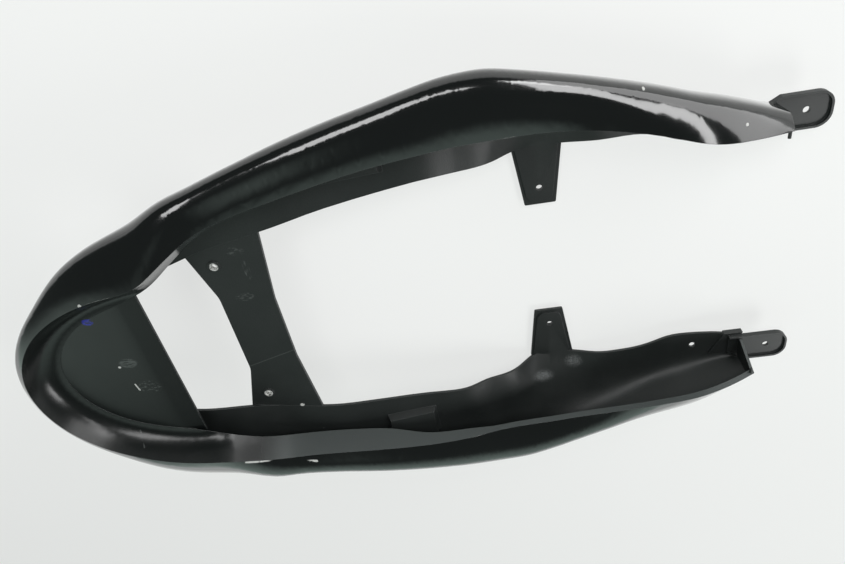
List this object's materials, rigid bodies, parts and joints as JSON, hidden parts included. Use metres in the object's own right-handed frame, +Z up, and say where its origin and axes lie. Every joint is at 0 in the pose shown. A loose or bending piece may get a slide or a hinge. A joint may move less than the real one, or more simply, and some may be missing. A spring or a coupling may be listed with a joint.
{
  "type": "motorcycle rear fairing",
  "caption": "U-shaped moulded tail fairing: glossy swelling arms, a dished tail tray, a cross bridge, bolt lugs and front tabs for a motorcycle seat frame.",
  "frame": {"origin": "midway between the two lug bolt holes, on the lugs' underside", "axes": "+X forward towards the front tabs, +Y to the rider's left, +Z up"},
  "size_m": [0.8075, 0.4776, 0.1386],
  "materials": {
    "black_plastic": "gloss"
  },
  "bodies": {
    "root": {"rear_fairing": "black_plastic"}
  },
  "joints": []
}
